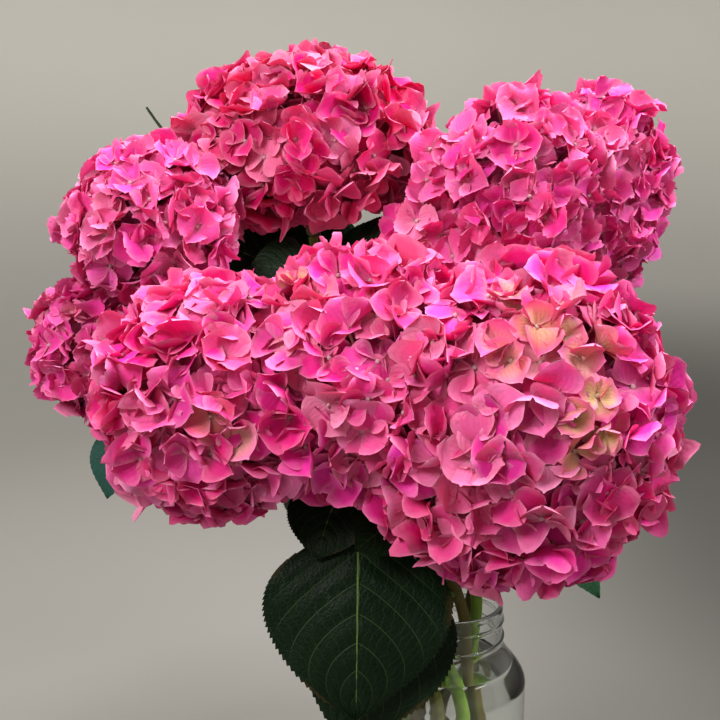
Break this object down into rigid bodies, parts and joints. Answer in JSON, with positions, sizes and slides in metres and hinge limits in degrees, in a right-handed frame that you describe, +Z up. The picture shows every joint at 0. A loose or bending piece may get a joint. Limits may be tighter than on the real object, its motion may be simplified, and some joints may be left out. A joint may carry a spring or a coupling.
{
  "type": "cut hydrangea bunch in a jar",
  "caption": "Cut pink mophead hydrangea stems with serrated green leaves, standing in a clear screw-neck glass jar of water; rests on a flat surface as decoration.",
  "frame": {"origin": "centre of the jar's flat underside, on the surface that the jar stands on", "axes": "+Z up along the jar's axis, -Y towards the front of the bunch, +X to its right seen from the front"},
  "size_m": [0.4839, 0.3981, 0.6165],
  "materials": {
    "petal_rose": "soft satin petal, fine veins, paler rims and eye",
    "petal_pink": "soft satin petal, fine veins, toothed rims",
    "petal_magenta": "soft satin petal, deep pink",
    "ray": "matte, pale green flushed with pink",
    "stem": "matte bark, green to olive brown",
    "leaf": "satin, dark green with pale veins",
    "glass": "clear gloss",
    "water": "clear liquid"
  },
  "bodies": {
    "root": {"glass_jar": "glass", "water": "water", "stem_middle_front": "stem", "stem_right_front": "stem", "stem_right_back": "stem", "stem_right_high": "stem", "stem_top": "stem", "stem_left_high": "stem", "stem_left_low": "stem", "stem_left_front": "stem", "rays_middle_front": "ray", "rays_right_front": "ray", "rays_right_back": "ray", "rays_right_high": "ray", "rays_top": "ray", "rays_left_high": "ray", "rays_left_low": "ray", "rays_left_front": "ray", "head_middle_front": "petal_rose", "head_right_front": "petal_rose", "head_left_front": "petal_rose", "head_right_back": "petal_pink", "head_right_high": "petal_pink", "head_left_high": "petal_pink", "head_left_low": "petal_pink", "head_top": "petal_magenta", "leaf_front_large": "leaf", "leaf_front_behind": "leaf", "leaf_front_upper": "leaf", "leaf_front_small": "leaf", "leaf_left_low": "leaf", "leaf_right_low": "leaf", "leaf_top_left": "leaf", "leaf_gap_right": "leaf", "leaf_gap_left": "leaf", "leaf_under_right": "leaf", "leaf_under_left": "leaf", "leaf_under_middle": "leaf", "leaf_back_top": "leaf", "leaf_back_right": "leaf", "leaf_back_low": "leaf", "leaf_left_back": "leaf", "leaf_left_far": "leaf"}
  },
  "joints": []
}
